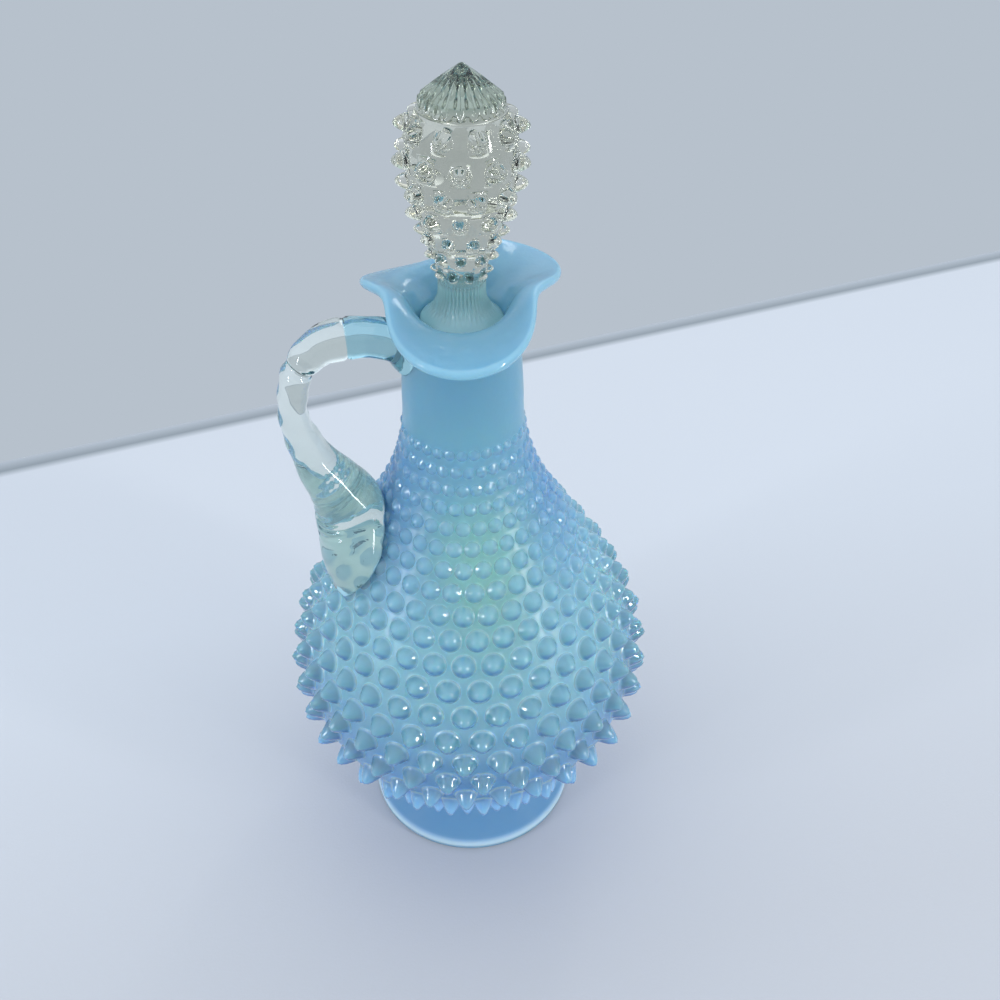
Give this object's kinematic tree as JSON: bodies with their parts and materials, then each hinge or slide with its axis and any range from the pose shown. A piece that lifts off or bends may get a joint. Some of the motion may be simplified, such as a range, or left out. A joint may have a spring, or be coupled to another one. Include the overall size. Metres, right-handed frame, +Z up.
{
  "type": "stoppered glass decanter with handle",
  "caption": "Pear-shaped knobbed glass decanter on a low foot, with a lobed lip, an applied loop handle and a lift-out knobbed stopper.",
  "frame": {"origin": "centre of the plane that the foot rests on, on the vessel's axis", "axes": "+Z up along the vessel's axis, -X towards the handle, +X away from it"},
  "size_m": [0.1394, 0.1394, 0.305],
  "materials": {
    "opalescent_glass": "fire-polished blue opalescent glass",
    "clear_glass": "fire-polished clear glass"
  },
  "bodies": {
    "decanter": {"bottle": "opalescent_glass", "handle": "clear_glass"},
    "stopper": {"stopper": "clear_glass"}
  },
  "joints": [
    {"name": "stopper_lift", "type": "slide", "parent": "decanter", "child": "stopper", "axis": [0, 0, 1], "range_m": [0, 0.075]}
  ]
}
